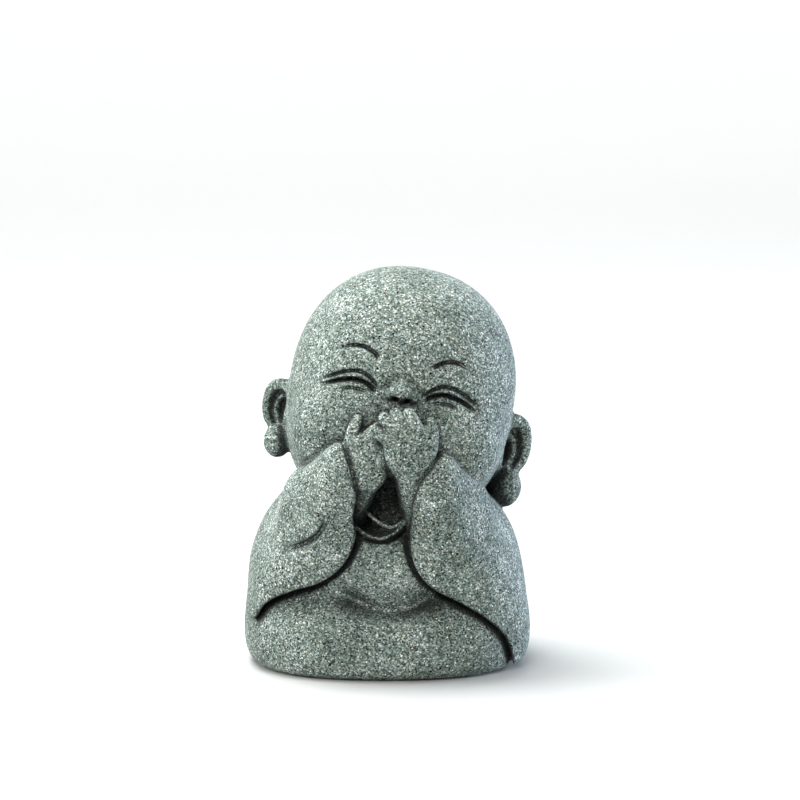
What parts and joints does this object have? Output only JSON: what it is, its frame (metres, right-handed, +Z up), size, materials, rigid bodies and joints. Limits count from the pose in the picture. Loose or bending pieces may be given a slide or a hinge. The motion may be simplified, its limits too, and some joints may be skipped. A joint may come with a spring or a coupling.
{
  "type": "monk figurine",
  "caption": "Small speckled stone figurine of a bald baby monk in a wide-sleeved robe, head tilted, both hands over its mouth, on a flat underside.",
  "frame": {"origin": "on the flat underside, below the middle of the robe", "axes": "+Z up, the face and hands look along -Y, +X at the right of someone who looks the figure in the face"},
  "size_m": [0.0306, 0.0291, 0.042],
  "materials": {
    "stone": "matt cast stone powder, grey-green, speckled with fine light and dark grains"
  },
  "bodies": {
    "root": {"monk_figure": "stone"}
  },
  "joints": []
}
